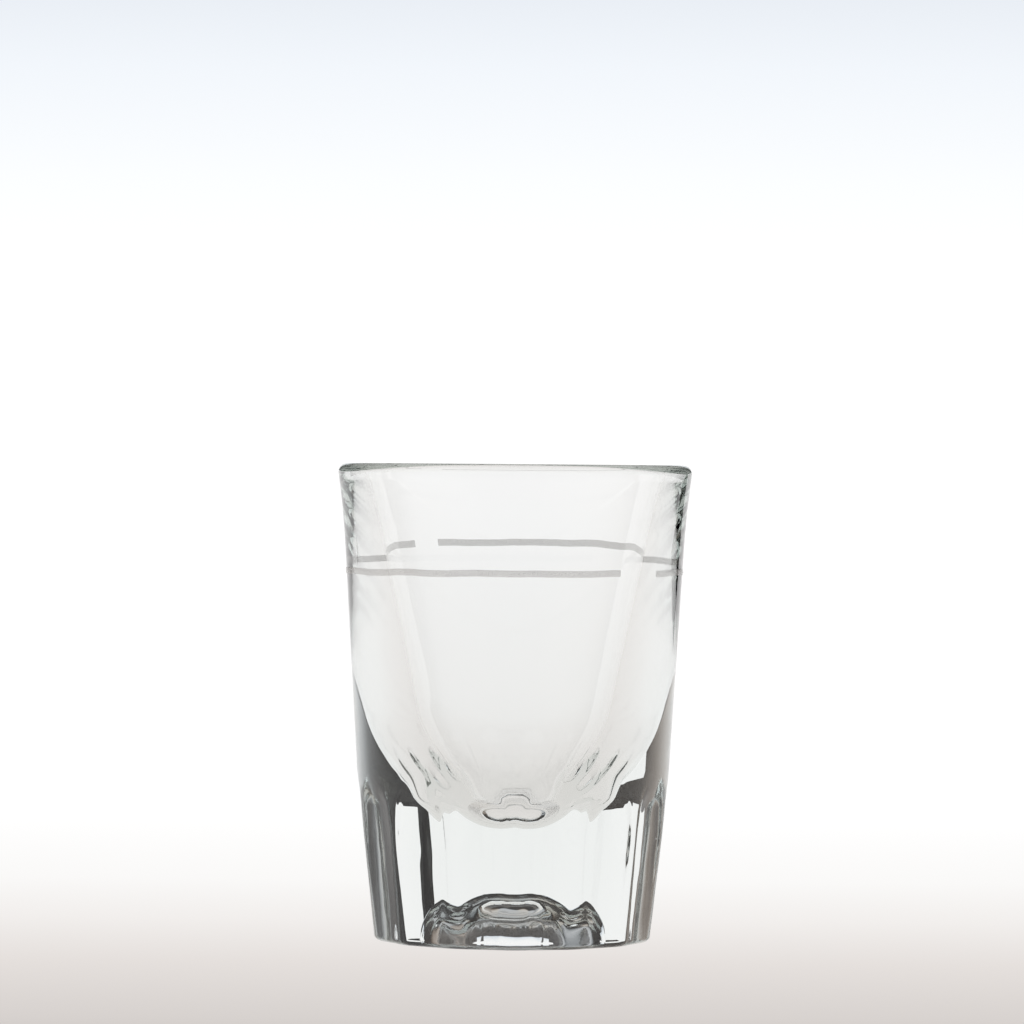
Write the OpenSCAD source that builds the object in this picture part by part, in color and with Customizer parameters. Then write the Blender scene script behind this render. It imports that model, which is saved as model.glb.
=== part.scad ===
// Heavy-based shot glass, pressed in one piece: a smooth conical bowl above a fluted foot,
// with a fill line fired onto the outside in two strokes.
// Origin at the centre of the foot's resting plane, +Z up, the front facing -Y.

/* [Overall] */
// Height from the table to the top of the lip
glass_h = 73; // [62:0.5:92]
// Largest diameter, across the lip
lip_d = 54.4; // [52:0.1:66]
// Outside diameter of the smooth wall where the flutes run out into it
shoulder_d = 47.8; // [45:0.1:52]
// Outside diameter where the wall starts to flare towards the lip
waist_d = 52; // [48:0.1:56]
// Distance below the lip at which that flare starts
flare_h = 13.2; // [6:0.1:20]

/* [Bowl] */
// Inside diameter at the lip
mouth_d = 47.2; // [40:0.1:50]
// Inside diameter where the bowl starts to flare along with the wall
throat_d = 40.9; // [34:0.1:46]
// Inside diameter where the bowl's straight wall turns into its round bottom
knee_d = 30.4; // [26:0.1:36]
// Height of that turn above the bowl's lowest point
knee_h = 17.1; // [14:0.1:24]
// Radius of the very bottom of the bowl
bowl_r = 12.5; // [9:0.1:13.2]
// Solid glass between the table and the bowl's lowest point
bowl_floor_z = 18.2; // [14:0.1:24]
// Rounding of the lip's two edges
lip_round = 1.4; // [0.6:0.05:1.9]

/* [Flutes] */
// Number of flutes round the foot
flute_n = 14; // [8:1:20]
// Radius of each flute's shallow hollow, measured across the flute
flute_r = 45; // [25:1:200]
// Height of the crease at which each flute bends outward to end on the wall
flute_h = 21.8; // [14:0.1:26]
// Distance across opposite flutes at the table
flutes_foot = 41.9; // [36:0.1:46]
// Distance across opposite flutes at the crease
flutes_top = 46.2; // [42:0.1:50]
// Lean of the flutes' run-out above the crease, in degrees from upright
runout_lean = 15; // [12:0.5:40]
// Turn of the ridges away from dead ahead, in degrees
flute_turn = 1; // [0:0.5:12]
// Rounding of the foot's outer edge
heel_round = 1; // [0.4:0.05:2]

/* [Underside] */
// Diameter of the domed hollow under the foot
hollow_d = 20; // [12:0.1:30]
// Height of the dome above the table
hollow_h = 8.2; // [3:0.1:12]

/* [Fill line] */
// Height of the line's middle above the table
line_z = 56.6; // [36:0.1:59]
// Width of the enamel stroke
line_w = 1; // [0.6:0.05:1.6]
// Thickness of the enamel on the glass
line_t = 0.12; // [0.05:0.01:0.3]
// Middle of the gap at the front right, in degrees round from the front
front_gap_at = 47; // [20:1:80]
// Width of that gap in degrees
front_gap_w = 18; // [4:1:40]
// Middle of the gap at the back left, in degrees round from the front
back_gap_at = 222.5; // [150:1:260]
// Width of that gap in degrees
back_gap_w = 14.5; // [4:1:40]

/* [Hidden] */
$fn = 96;
// How far a cutter runs past the surface that it cuts
past = 2;
// How far a flute's cutter laps over its neighbours'
cutter_lap = 0.6;
// Direction of the front, measured from +X
front = -90;

// The lip's rounding, never more than the wall can carry
lip_edge = min(lip_round, 0.45 * (lip_d - mouth_d) / 2);
lip_z = glass_h - lip_edge;

// Distance from the axis to the bottom of a flute, and the flutes' lean
flute_slope = (flutes_top - flutes_foot) / 2 / flute_h;
flute_lean = atan(flute_slope);
function flute_floor(z) = flutes_foot / 2 + flute_slope * z;

// Outside radius of the smooth wall at a height: a cone, flaring above flare_z
shoulder_z = flute_h + (shoulder_d - flutes_top) / 2 / tan(runout_lean);
flare_z = glass_h - flare_h;
wall_slope = (waist_d - shoulder_d) / 2 / (flare_z - shoulder_z);
flare_rise = (lip_d - waist_d) / 2 - wall_slope * (lip_z - flare_z);
function wall_r(z) =
    shoulder_d / 2 + wall_slope * (z - shoulder_z)
    + flare_rise * pow(max(0, z - flare_z) / (lip_z - flare_z), 2);

// The bowl: a cone that flares above flare_z, straight from there down to the knee, then an arc
// that is tangent to the cone at the knee and to the sphere that makes the bottom
knee = [knee_d / 2, bowl_floor_z + knee_h];
bowl_slope = (throat_d - knee_d) / 2 / (flare_z - knee[1]);
bowl_lean = atan(bowl_slope);
mouth_rise = (mouth_d - throat_d) / 2 - bowl_slope * (lip_z - flare_z);
function bowl_wall_r(z) =
    throat_d / 2 + bowl_slope * (z - flare_z)
    + mouth_rise * pow((z - flare_z) / (lip_z - flare_z), 2);
bowl_centre = [0, bowl_floor_z + bowl_r];
inward = [-cos(bowl_lean), sin(bowl_lean)];
from_centre = knee - bowl_centre;
side_r = (from_centre * from_centre - bowl_r * bowl_r) / -2 / (from_centre * inward + bowl_r);
side_centre = knee + side_r * inward;
side_end = atan2(bowl_centre[1] - side_centre[1], bowl_centre[0] - side_centre[0]);

// Points on an arc about a centre, from one angle to another
function arc(centre, r, from, to, steps = 8) =
    [for (i = [0 : steps])
        let (a = from + (to - from) * i / steps)
        centre + r * [cos(a), sin(a)]];

// Outline of the glass before the bowl, the flutes and the hollow are cut
module blank_outline() {
    flare = [for (i = [0 : 8]) let (z = flare_z + (lip_z - flare_z) * i / 8) [wall_r(z), z]];
    outer_edge = arc([lip_d / 2 - lip_edge, lip_z], lip_edge, 0, 90);
    polygon(concat([[0, 0], [wall_r(0), 0]], flare, outer_edge, [[0, glass_h]]));
}

// The space inside the bowl, with the lip's inner edge rounded
module bowl_space() {
    translate([0, 0, bowl_centre[1]])
        sphere(bowl_r);
    side = arc(side_centre, side_r, side_end, -bowl_lean, 12);
    flare = [for (i = [0 : 7]) let (z = flare_z + (lip_z - flare_z) * i / 8) [bowl_wall_r(z), z]];
    edge_r = mouth_d / 2 + lip_edge;
    inner_edge = arc([edge_r, lip_z], lip_edge, 180, 90);
    rotate_extrude()
        polygon(concat([[0, side[0][1]]], side, flare, inner_edge,
                       [[edge_r, glass_h + past], [0, glass_h + past]]));
}

// A long roller that touches the flute facing -Y from outside, passing through its crease
module roller(lean) {
    translate([0, -flute_floor(flute_h), flute_h])
        rotate([lean, 0, 0])
            translate([0, -flute_r, 0])
                cylinder(h = 4 * flute_h, r = flute_r, center = true);
}

// Below the crease the first roller bounds the cut, above it the second. Each cutter is a little
// wider than its flute, so that neighbours only just overlap.
module flutes() {
    outside = lip_d / 2 + past;
    cutter_w = 2 * wall_r(shoulder_z) * tan(180 / flute_n) + cutter_lap;
    for (i = [0 : flute_n - 1])
        rotate([0, 0, flute_turn + (i + 0.5) * 360 / flute_n])
            intersection() {
                roller(flute_lean);
                roller(runout_lean);
                translate([-cutter_w / 2, -outside, -past])
                    cube([cutter_w, outside, 2 * flute_h]);
            }
}

// Rounds the foot's outer edge and takes the ridges' corners off at a slant
module heel() {
    outside = lip_d / 2 + past;
    centre = [flute_floor(heel_round) - heel_round, heel_round];
    round_edge = arc(centre, heel_round, -90, -35, 6);
    last = round_edge[6];
    slant_top = last[1] + (outside - last[0]) / tan(35);
    rotate_extrude()
        polygon(concat([[centre[0], -past]], round_edge, [[outside, slant_top], [outside, -past]]));
}

// The domed hollow under the foot
module hollow() {
    dome_r = (pow(hollow_d / 2, 2) + pow(hollow_h, 2)) / 2 / hollow_h;
    translate([0, 0, hollow_h - dome_r])
        sphere(dome_r);
}

module glass_body() {
    color([0.9, 0.96, 0.95, 0.35])
        difference() {
            rotate_extrude()
                blank_outline();
            bowl_space();
            flutes();
            heel();
            hollow();
        }
}

// One enamel stroke, lying on the wall between two directions round from the front
module stroke(from, to) {
    low = line_z - line_w / 2;
    high = line_z + line_w / 2;
    color([0.82, 0.81, 0.79])
        rotate([0, 0, front + from])
            rotate_extrude(angle = to - from)
                polygon([[wall_r(low), low], [wall_r(low) + line_t, low],
                         [wall_r(high) + line_t, high], [wall_r(high), high]]);
}

module fill_line_right() {
    stroke(front_gap_at + front_gap_w / 2, back_gap_at - back_gap_w / 2);
}

module fill_line_left() {
    stroke(back_gap_at + back_gap_w / 2, 360 + front_gap_at - front_gap_w / 2);
}

glass_body();
fill_line_right();
fill_line_left();
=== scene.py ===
import math
import bpy
from mathutils import Matrix, Vector, noise


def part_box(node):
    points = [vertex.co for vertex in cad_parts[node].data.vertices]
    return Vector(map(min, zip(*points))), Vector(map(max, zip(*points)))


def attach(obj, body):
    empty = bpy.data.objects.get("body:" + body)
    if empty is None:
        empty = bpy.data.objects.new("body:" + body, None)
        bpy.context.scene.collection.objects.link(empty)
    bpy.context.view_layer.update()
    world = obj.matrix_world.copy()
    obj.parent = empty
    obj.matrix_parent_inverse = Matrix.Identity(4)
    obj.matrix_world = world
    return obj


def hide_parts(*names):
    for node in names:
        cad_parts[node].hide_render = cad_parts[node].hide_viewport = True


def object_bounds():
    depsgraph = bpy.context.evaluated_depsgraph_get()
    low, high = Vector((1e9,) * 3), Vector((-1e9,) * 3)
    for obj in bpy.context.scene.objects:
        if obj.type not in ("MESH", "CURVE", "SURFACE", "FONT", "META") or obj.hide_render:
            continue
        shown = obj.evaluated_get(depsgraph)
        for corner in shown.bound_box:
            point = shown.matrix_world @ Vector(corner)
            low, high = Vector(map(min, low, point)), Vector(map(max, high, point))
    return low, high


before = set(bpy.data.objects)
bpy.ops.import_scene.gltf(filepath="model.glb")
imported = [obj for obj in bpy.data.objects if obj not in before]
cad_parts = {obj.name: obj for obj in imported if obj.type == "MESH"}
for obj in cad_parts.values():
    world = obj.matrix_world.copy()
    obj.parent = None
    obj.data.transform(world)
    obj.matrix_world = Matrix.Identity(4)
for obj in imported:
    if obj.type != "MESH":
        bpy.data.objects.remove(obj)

cad_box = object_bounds()
mm = 0.001

# The camera: a long lens, level with the lip and 850 mm from the axis, pointed at the middle of
# the glass and rolled a fraction of a degree.
camera_away = 850 * mm
camera_tilt = math.radians(0.497)
camera_pan = math.radians(0.031)
camera_roll = math.radians(0.45)
bpy.ops.object.camera_add()
camera = bpy.context.object
camera.data.lens = 194.5
camera.data.sensor_width = 36
camera.data.clip_start = 0.01
camera.matrix_world = (
    Matrix.Translation((0, -camera_away, cad_box[1].z))
    @ Matrix.Rotation(camera_pan, 4, "Z")
    @ Matrix.Rotation(math.pi / 2 - camera_tilt, 4, "X")
    @ Matrix.Rotation(camera_roll, 4, "Z")
)
bpy.context.scene.camera = camera


# The glass: one gob of clear soda-lime glass, pressed between a fluted mould and a plunger that
# leaves the bowl, then fire-polished. It is drawn as a profile from the hollow's crown round the
# foot, up the wall, over the lip and down the bowl, spun round, and the flutes are pressed in.
low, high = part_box("glass_body")
glass_h = high.z / mm
lip_r = (high.x - low.x) / 2 / mm
flare_h = 13.2
flare_z = glass_h - flare_h
shoulder_r = 23.9
shoulder_z = 24.8
waist_r = 26
lip_edge = 1.4
wall_slope = (waist_r - shoulder_r) / (flare_z - shoulder_z)
flare_length = glass_h - lip_edge - flare_z
flare_rise = lip_r - waist_r - wall_slope * flare_length


def wall_radius(z):
    """Outside radius of the smooth wall, in mm: a cone that flares towards the lip."""
    flare = max(0, z - flare_z) / flare_length
    return shoulder_r + wall_slope * (z - shoulder_z) + flare_rise * flare ** 2


flute_count = 14
flute_turn = math.radians(1)
crease_z = 21.8
floor_at_foot = 20.95
floor_at_crease = 23.1
crease_blend = 0.8
flute_r_at_foot = 70
flute_r_at_crease = 33
ridge_round_at_foot = 1
ridge_round_lost = 0.4
runout_slope = math.tan(math.radians(15))
heel_round = 1
flute_slope = (floor_at_crease - floor_at_foot) / crease_z


def blend_low(a, b, width):
    """The lower of a and b, rounded where they cross."""
    side = min(1, max(0, 0.5 + 0.5 * (b - a) / width))
    return b + (a - b) * side - width * side * (1 - side)


def flute_floor(z):
    """Distance from the axis to the bottom of a flute, in mm."""
    if z < heel_round:
        edge = floor_at_foot + flute_slope * heel_round - heel_round
        return edge + math.sqrt(max(0, heel_round ** 2 - (heel_round - z) ** 2))
    flank = floor_at_foot + flute_slope * z
    runout = floor_at_crease + runout_slope * (z - crease_z)
    return -blend_low(-flank, -runout, crease_blend * (runout_slope - flute_slope))


def flute_surface(angle, z, share):
    """Distance to one flute's hollow, a cylinder whose radius tightens towards the crease."""
    radius = 1 / ((1 - share) / flute_r_at_foot + share / flute_r_at_crease)
    centre = flute_floor(z) + radius
    inside = radius ** 2 - (centre * math.sin(angle)) ** 2
    return centre * math.cos(angle) - math.sqrt(max(0, inside))


def pressed_radius(angle, z):
    """Outside radius of the fluted foot at an angle from the front, in mm."""
    pitch = 2 * math.pi / flute_count
    share = min(1, max(0, z / crease_z))
    across = (angle - flute_turn) % pitch - pitch / 2
    near = flute_surface(across, z, share)
    beside = flute_surface(pitch - abs(across), z, share)
    fluted = blend_low(near, beside, ridge_round_at_foot - ridge_round_lost * share)
    # The edge where a flute meets the wall is softer above the crease than below it
    edge_soft = 0.15 + 0.2 * min(1, max(0, (z - crease_z) / 1.5))
    return blend_low(fluted, wall_radius(z), edge_soft)


def line(start, end, steps):
    """Points from start to end, without start."""
    a, b = Vector(start), Vector(end)
    return [a.lerp(b, i / steps) for i in range(1, steps + 1)]


def arc(centre, radius, start, end, steps):
    """Points on an arc, angles in degrees, without the first."""
    points = []
    for i in range(1, steps + 1):
        turn = math.radians(start + (end - start) * i / steps)
        points.append(Vector(centre) + radius * Vector((math.cos(turn), math.sin(turn))))
    return points


# The hollow's dome, nearly an ellipse, with its rim rounded into the foot
hollow_r = 10
hollow_h = 8.3
hollow_rim = 0.4
dome_fullness = 2.1
hollow_rows = 30
profile = [Vector((0, hollow_h))]
for i in range(1, hollow_rows + 1):
    turn = math.pi / 2 * (1 - i / hollow_rows)
    across = hollow_r * math.cos(turn) ** (2 / dome_fullness)
    up = hollow_rim + (hollow_h - hollow_rim) * math.sin(turn) ** (2 / dome_fullness)
    profile.append(Vector((across, up)))
profile += arc((hollow_r + hollow_rim, hollow_rim), hollow_rim, 180, 270, 4)
foot_ring_r = 18.4
profile += line((hollow_r + hollow_rim, 0), (foot_ring_r, 0), 5)

# The foot's edge and the wall, as the blank is before its flutes are pressed. The rows are
# closest over the flutes' run-out, between the two heights named here.
runout_low = 21
runout_high = 26.5
profile.append(Vector((wall_radius(0), 0)))
for i in range(1, 7):
    up = heel_round * (1 - math.cos(math.pi / 12 * i))
    profile.append(Vector((wall_radius(0), up)))
profile += line((wall_radius(0), heel_round), (wall_radius(runout_low), runout_low), 26)
profile += line((wall_radius(runout_low), runout_low), (wall_radius(runout_high), runout_high), 26)
profile += line((wall_radius(runout_high), runout_high), (wall_radius(flare_z), flare_z), 14)
for i in range(1, 13):
    up = flare_z + flare_length * i / 12
    profile.append(Vector((wall_radius(up), up)))

# The lip, then the bowl: it flares with the wall, runs straight to the knee, then a side arc and
# a round bottom
mouth_r = 23.6
throat_r = 20.45
knee = Vector((15.2, 35.3))
bottom_r = 12.5
bowl_floor = 18.2
lip_z = flare_z + flare_length
bowl_slope = (throat_r - knee.x) / (flare_z - knee.y)
mouth_rise = mouth_r - throat_r - bowl_slope * (lip_z - flare_z)
bowl_lean = math.atan(bowl_slope)
bottom_centre = Vector((0, bowl_floor + bottom_r))
inward = Vector((-math.cos(bowl_lean), math.sin(bowl_lean)))
reach = knee - bottom_centre
side_radius = (reach.dot(reach) - bottom_r ** 2) / -2 / (reach.dot(inward) + bottom_r)
side_centre = knee + side_radius * inward
meeting = bottom_centre - side_centre
meeting_turn = math.degrees(math.atan2(meeting.y, meeting.x))
profile += arc((lip_r - lip_edge, lip_z), lip_edge, 0, 90, 8)
profile += line((lip_r - lip_edge, glass_h), (mouth_r + lip_edge, glass_h), 2)
profile += arc((mouth_r + lip_edge, lip_z), lip_edge, 90, 180, 8)
for i in range(1, 13):
    up = 1 - i / 12
    out = throat_r + bowl_slope * flare_length * up + mouth_rise * up ** 2
    profile.append(Vector((out, flare_z + flare_length * up)))
profile += line((throat_r, flare_z), knee, 10)
profile += arc(side_centre, side_radius, -math.degrees(bowl_lean), meeting_turn, 14)
profile += arc(bottom_centre, bottom_r, meeting_turn, -90, 16)

bpy.ops.object.select_all(action="DESELECT")
bpy.ops.mesh.primitive_plane_add(size=mm, location=(0, 0, hollow_h * mm))
glass = bpy.context.object
glass.name = "pressed_glass"
bpy.ops.object.transform_apply(location=True)
bpy.ops.object.mode_set(mode="EDIT")
bpy.ops.mesh.select_all(action="SELECT")
bpy.ops.mesh.merge(type="CENTER")
for last, point in zip(profile, profile[1:]):
    step = (point - last) * mm
    bpy.ops.mesh.extrude_region_move(TRANSFORM_OT_translate={"value": (step.x, 0, step.y)})
bpy.ops.mesh.select_all(action="SELECT")
columns_per_flute = 36
columns = columns_per_flute * flute_count
bpy.ops.mesh.spin(steps=columns, angle=2 * math.pi, center=(0, 0, 0), axis=(0, 0, 1))
bpy.ops.mesh.select_all(action="SELECT")
bpy.ops.mesh.remove_doubles(threshold=0.002 * mm)
bpy.ops.mesh.normals_make_consistent(inside=False)
bpy.ops.object.mode_set(mode="OBJECT")


def ripple(point, size, depth):
    """A smooth unevenness, in mm, with bumps about size mm across."""
    return depth * noise.noise(point / size)


# The flutes are pressed by moving the blank's points straight towards the axis, because a cut
# would leave facets that clear glass shows. The same pass gives the slight unevenness of pressing,
# coarse and shallow on the wall and the bowl, finer on the foot and in the hollow.
flutes_end_z = 27
bowl_reach = 25
for vertex in glass.data.vertices:
    x, y, z = vertex.co / mm
    radius = math.hypot(x, y)
    if radius < 0.01:
        continue
    here = Vector((x, y, z))
    new_radius = radius
    if radius > foot_ring_r + 0.1 and z < flutes_end_z:
        new_radius = pressed_radius(math.atan2(x, -y), z)
        new_radius += ripple(here, 5, 0.03) + ripple(here, 1.8, 0.008)
    elif z > flutes_end_z and radius > wall_radius(z) - 0.01:
        new_radius += ripple(here, 16, 0.006)
    elif z > bowl_floor - 1 and radius < bowl_reach:
        new_radius += ripple(here, 9, 0.012)
    elif 0 < z < hollow_h + 1:
        fade = min(1, z / 2)
        new_radius += fade * (ripple(here, 2.2, 0.08) + ripple(here, 0.9, 0.025))
        vertex.co.z += fade * ripple(here + Vector((40, 0, 0)), 2.2, 0.08) * mm
    vertex.co.x *= new_radius / radius
    vertex.co.y *= new_radius / radius
bpy.ops.object.shade_smooth()


def linear(code):
    """An sRGB hex colour as linear RGBA."""
    channels = [int(code[i:i + 2], 16) / 255 for i in (1, 3, 5)]
    return [c / 12.92 if c < 0.04045 else ((c + 0.055) / 1.055) ** 2.4 for c in channels] + [1]


def add(tree, kind, inputs=None, **settings):
    """Adds a node, with its settings, its input values and its links from other sockets."""
    node = tree.nodes.new(kind)
    for name, value in settings.items():
        setattr(node, name, value)
    for name, value in (inputs or {}).items():
        if isinstance(value, bpy.types.NodeSocket):
            tree.links.new(value, node.inputs[name])
        else:
            node.inputs[name].default_value = value
    return node


# Fire-polished soda-lime glass: no colour but a breath of green in the thick foot, a mirror-smooth
# skin with the faint orange peel that a mould leaves, in bumps about 4 mm across and a few
# thousandths deep, and a foot ring scuffed by the bar in patches of about 0.6 mm.
material = bpy.data.materials.new("fire_polished_soda_lime_glass")
material.use_nodes = True
tree = material.node_tree
shader = tree.nodes["Principled BSDF"]
shader.inputs["Base Color"].default_value = linear("#FFFFFF")
shader.inputs["Transmission Weight"].default_value = 1
shader.inputs["IOR"].default_value = 1.52
place = add(tree, "ShaderNodeTexCoord")
peel = add(tree, "ShaderNodeTexNoise", {"Vector": place.outputs["Object"], "Scale": 1 / (4 * mm),
                                        "Detail": 1})
skin = add(tree, "ShaderNodeBump", {"Height": peel.outputs["Fac"], "Distance": 0.004 * mm})
tree.links.new(skin.outputs["Normal"], shader.inputs["Normal"])
split = add(tree, "ShaderNodeSeparateXYZ", {"Vector": place.outputs["Object"]})
scuffs = add(tree, "ShaderNodeTexNoise", {"Vector": place.outputs["Object"],
                                          "Scale": 1 / (0.6 * mm), "Detail": 3})
worn = add(tree, "ShaderNodeMapRange", {"Value": split.outputs["Z"], "From Min": 0.02 * mm,
                                        "From Max": 0.12 * mm, "To Min": 0.35, "To Max": 0})
rough = add(tree, "ShaderNodeMath", {0: worn.outputs["Result"], 1: scuffs.outputs["Fac"]},
            operation="MULTIPLY")
tree.links.new(rough.outputs["Value"], shader.inputs["Roughness"])
# Through the 44 mm of the foot about a sixth of the light is lost, a little more of the red
depth_tint = add(tree, "ShaderNodeVolumeAbsorption", {"Color": (0.4, 0.5, 0.46, 1), "Density": 7.5})
tree.links.new(depth_tint.outputs["Volume"], tree.nodes["Material Output"].inputs["Volume"])
glass.data.materials.append(material)
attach(glass, "root")
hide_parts("glass_body")


# The fill line: pale enamel printed round the outside in two strokes and fired on, so it is a
# low soft-edged bead fused to the wall, with gaps at the front right and the back left.
line_z = 56.6
line_w = 1
bead_sunk = 0.04
bead_proud = 0.1

enamel = bpy.data.materials.new("fired_vitreous_enamel")
enamel.use_nodes = True
tree = enamel.node_tree
shader = tree.nodes["Principled BSDF"]
place = add(tree, "ShaderNodeTexCoord")
# Enamel melts unevenly: cloudy patches about 1.5 mm across, and pinholes of about 0.2 mm
clouds = add(tree, "ShaderNodeTexNoise", {"Vector": place.outputs["Object"],
                                          "Scale": 1 / (1.5 * mm), "Detail": 2})
tint = add(tree, "ShaderNodeMix", {"Factor": clouds.outputs["Fac"], "A": linear("#D2CFCC"),
                                   "B": linear("#EAE7E4")}, data_type="RGBA")
pinholes = add(tree, "ShaderNodeTexNoise", {"Vector": place.outputs["Object"],
                                            "Scale": 1 / (0.2 * mm), "Detail": 1})
grain = add(tree, "ShaderNodeBump", {"Height": pinholes.outputs["Fac"], "Distance": 0.02 * mm,
                                     "Strength": 0.5})
tree.links.new(tint.outputs["Result"], shader.inputs["Base Color"])
tree.links.new(grain.outputs["Normal"], shader.inputs["Normal"])
shader.inputs["Roughness"].default_value = 0.32
shader.inputs["IOR"].default_value = 1.55
shader.inputs["Alpha"].default_value = 0.3


def enamel_stroke(name, node, start, end):
    """A bead of enamel between two directions, in degrees from the front towards +X."""
    bpy.ops.object.select_all(action="DESELECT")
    bpy.ops.mesh.primitive_circle_add(vertices=16, radius=line_w / 2 * mm, fill_type="NGON",
                                      location=(wall_radius(line_z) * mm, 0, line_z * mm),
                                      rotation=(math.pi / 2, 0, 0))
    stroke = bpy.context.object
    stroke.name = name
    bpy.ops.object.transform_apply()
    degrees_per_step = 1.5
    steps = round((end - start) / degrees_per_step)
    bpy.ops.object.mode_set(mode="EDIT")
    bpy.ops.mesh.select_all(action="SELECT")
    bpy.ops.mesh.spin(steps=steps, angle=math.radians(end - start), center=(0, 0, 0),
                      axis=(0, 0, -1))
    bpy.ops.mesh.select_all(action="SELECT")
    bpy.ops.mesh.remove_doubles(threshold=0.001 * mm)
    bpy.ops.mesh.normals_make_consistent(inside=False)
    bpy.ops.object.mode_set(mode="OBJECT")
    turned = Matrix.Rotation(math.radians(start - 90), 4, "Z")
    stroke.data.transform(turned)
    for vertex in stroke.data.vertices:
        x, y, z = vertex.co / mm
        radius = math.hypot(x, y)
        off = (radius - wall_radius(line_z)) / (line_w / 2)
        around = Vector((x, y, 0))
        # The print wavers up and down, and the melted enamel is thicker in some places
        height = z + 0.25 * noise.noise(around / 9) + 0.06 * noise.noise(around / 2.5)
        depth = bead_proud * off if off > 0 else bead_sunk * off
        new_radius = wall_radius(height) + depth * (1 + 0.4 * noise.noise(around / 1.7))
        vertex.co = Vector((x / radius * new_radius, y / radius * new_radius, height)) * mm
    bpy.ops.object.shade_smooth()
    stroke.data.materials.append(enamel)
    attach(stroke, "root")
    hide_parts(node)


enamel_stroke("enamel_stroke_right", "fill_line_right", 56, 215.2)
enamel_stroke("enamel_stroke_left", "fill_line_left", 229.8, 398)


# The set: a pale table that runs back to an upright paper sheet, both glowing with painted light
# rather than lit by lamps, in a dim room, so that the glass is drawn by what it bends into view at
# its edges.
def paper_with_painted_light(name, axis, stops):
    """Paper that glows with painted light, brighter or darker along one axis, through (metres,
    sRGB) stops.
    """
    paper = bpy.data.materials.new(name)
    paper.use_nodes = True
    tree = paper.node_tree
    tree.nodes.clear()
    first, last = stops[0][0], stops[-1][0]
    place = add(tree, "ShaderNodeTexCoord")
    split = add(tree, "ShaderNodeSeparateXYZ", {"Vector": place.outputs["Object"]})
    along = add(tree, "ShaderNodeMapRange", {"Value": split.outputs[axis], "From Min": first,
                                             "From Max": last})
    ramp = add(tree, "ShaderNodeValToRGB", {"Fac": along.outputs["Result"]})
    fill_ramp(ramp, [((at - first) / (last - first), linear(code)) for at, code in stops])
    # The paper glows rather than being lit: its brightness is painted light, set by the ramp, not
    # cast by a lamp.
    glow = add(tree, "ShaderNodeEmission", {"Color": ramp.outputs["Color"], "Strength": 1.12})
    add(tree, "ShaderNodeOutputMaterial", {"Surface": glow.outputs["Emission"]})
    return paper


def fill_ramp(ramp, stops):
    """Sets a colour ramp's stops from (position, colour) pairs in order."""
    marks = ramp.color_ramp.elements
    marks.remove(marks[-1])
    marks[0].position, marks[0].color = stops[0]
    for position, colour in stops[1:]:
        marks.new(position).color = colour


table_far = 0.65
bpy.ops.object.select_all(action="DESELECT")
bpy.ops.mesh.primitive_plane_add(size=1)
table = bpy.context.object
table.name = "table"
for vertex, (x, y) in zip(table.data.vertices, ((-2, -2), (2, -2), (-2, table_far),
                                                (2, table_far))):
    vertex.co = (x, y, 0)
# The table's glow is painted light: darkest towards the camera and brightening back towards the
# sheet, as light from behind would fall on it.
table.data.materials.append(paper_with_painted_light("pale_table", "Y", [
    (-0.4, "#747271"), (-0.12, "#CDC8C5"), (-0.04, "#DAD5D2"), (0.035, "#E6E3E1"),
    (0.12, "#EEEDEC"), (0.35, "#F6F6F6"), (0.65, "#FAF9F9")]))

# The sheet stands tall only behind the glass; to either side it is a low strip, little higher than
# the glass, so that the slanting ends of the flutes look over it into the dark.
sheet_top = 0.24
strip_top = 0.095
# The sheet's glow is painted light: even low down, then darker and bluer towards its top, where the
# light falls off.
sheet_paper = paper_with_painted_light("sheet_with_painted_light", "Z", [
    (0, "#FAF9F9"), (0.08, "#FAF9F9"), (0.12, "#F6F6F7"), (0.15, "#F0F2F4"), (0.18, "#E7EBF0"),
    (0.24, "#CCD2DB")])


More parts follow.
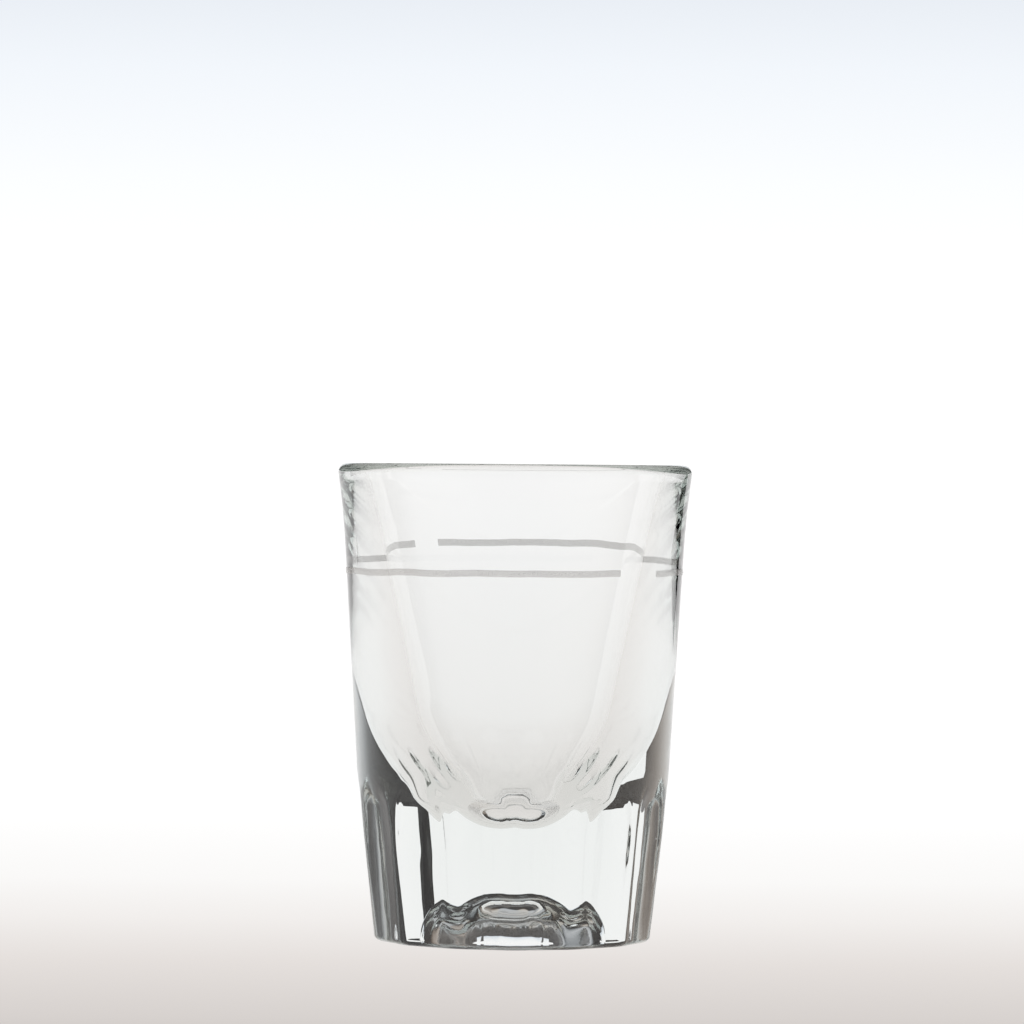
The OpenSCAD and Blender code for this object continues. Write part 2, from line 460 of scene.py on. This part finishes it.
def sheet_with_painted_light(name, left, right, top, away):
    """An upright sheet of paper glowing with painted light, that spans left to right."""
    bpy.ops.object.select_all(action="DESELECT")
    bpy.ops.mesh.primitive_plane_add(size=1, rotation=(math.pi / 2, 0, 0),
                                     location=((left + right) / 2, away, top / 2))
    sheet = bpy.context.object
    sheet.name = name
    sheet.scale = (right - left, top, 1)
    bpy.ops.object.transform_apply()
    sheet.data.materials.append(sheet_paper)


sheet_with_painted_light("tall_sheet", -0.16, 0.16, sheet_top, table_far - 0.002)
sheet_with_painted_light("low_strip", -0.66, 0.37, strip_top, table_far)

room = bpy.data.worlds.new("dim_room")
bpy.context.scene.world = room
room.use_nodes = True
tree = room.node_tree
facing = add(tree, "ShaderNodeTexCoord")
split = add(tree, "ShaderNodeSeparateXYZ", {"Vector": facing.outputs["Generated"]})
bearing = add(tree, "ShaderNodeMath", {0: split.outputs["X"], 1: split.outputs["Y"]},
              operation="ARCTAN2")
turn = add(tree, "ShaderNodeMapRange", {"Value": bearing.outputs["Value"],
                                        "From Min": -math.pi, "From Max": math.pi})
walls = add(tree, "ShaderNodeValToRGB", {"Fac": turn.outputs["Result"]})
# Bearings in degrees from straight behind the glass, positive towards +X
room_tones = [(-180, (0.50, 0.50, 0.50)), (-120, (0.58, 0.55, 0.52)), (-85, (0.50, 0.46, 0.42)),
              (-68, (0.33, 0.28, 0.245)), (-56, (0.14, 0.105, 0.08)), (-46, (0.03, 0.02, 0.015)),
              (-40, (0.02, 0.015, 0.012)), (33, (0.004, 0.004, 0.005)), (50, (0.006, 0.006, 0.006)),
              (58, (0.05, 0.055, 0.06)), (66, (0.26, 0.275, 0.29)), (76, (0.50, 0.51, 0.53)),
              (180, (0.50, 0.50, 0.50))]
fill_ramp(walls, [((at + 180) / 360, (*tone, 1)) for at, tone in room_tones])
tree.links.new(walls.outputs["Color"], tree.nodes["Background"].inputs["Color"])

scene = bpy.context.scene
scene.view_settings.view_transform = "Standard"
scene.cycles.max_bounces = 24
scene.cycles.transmission_bounces = 24
scene.cycles.glossy_bounces = 12
scene.cycles.transparent_max_bounces = 16
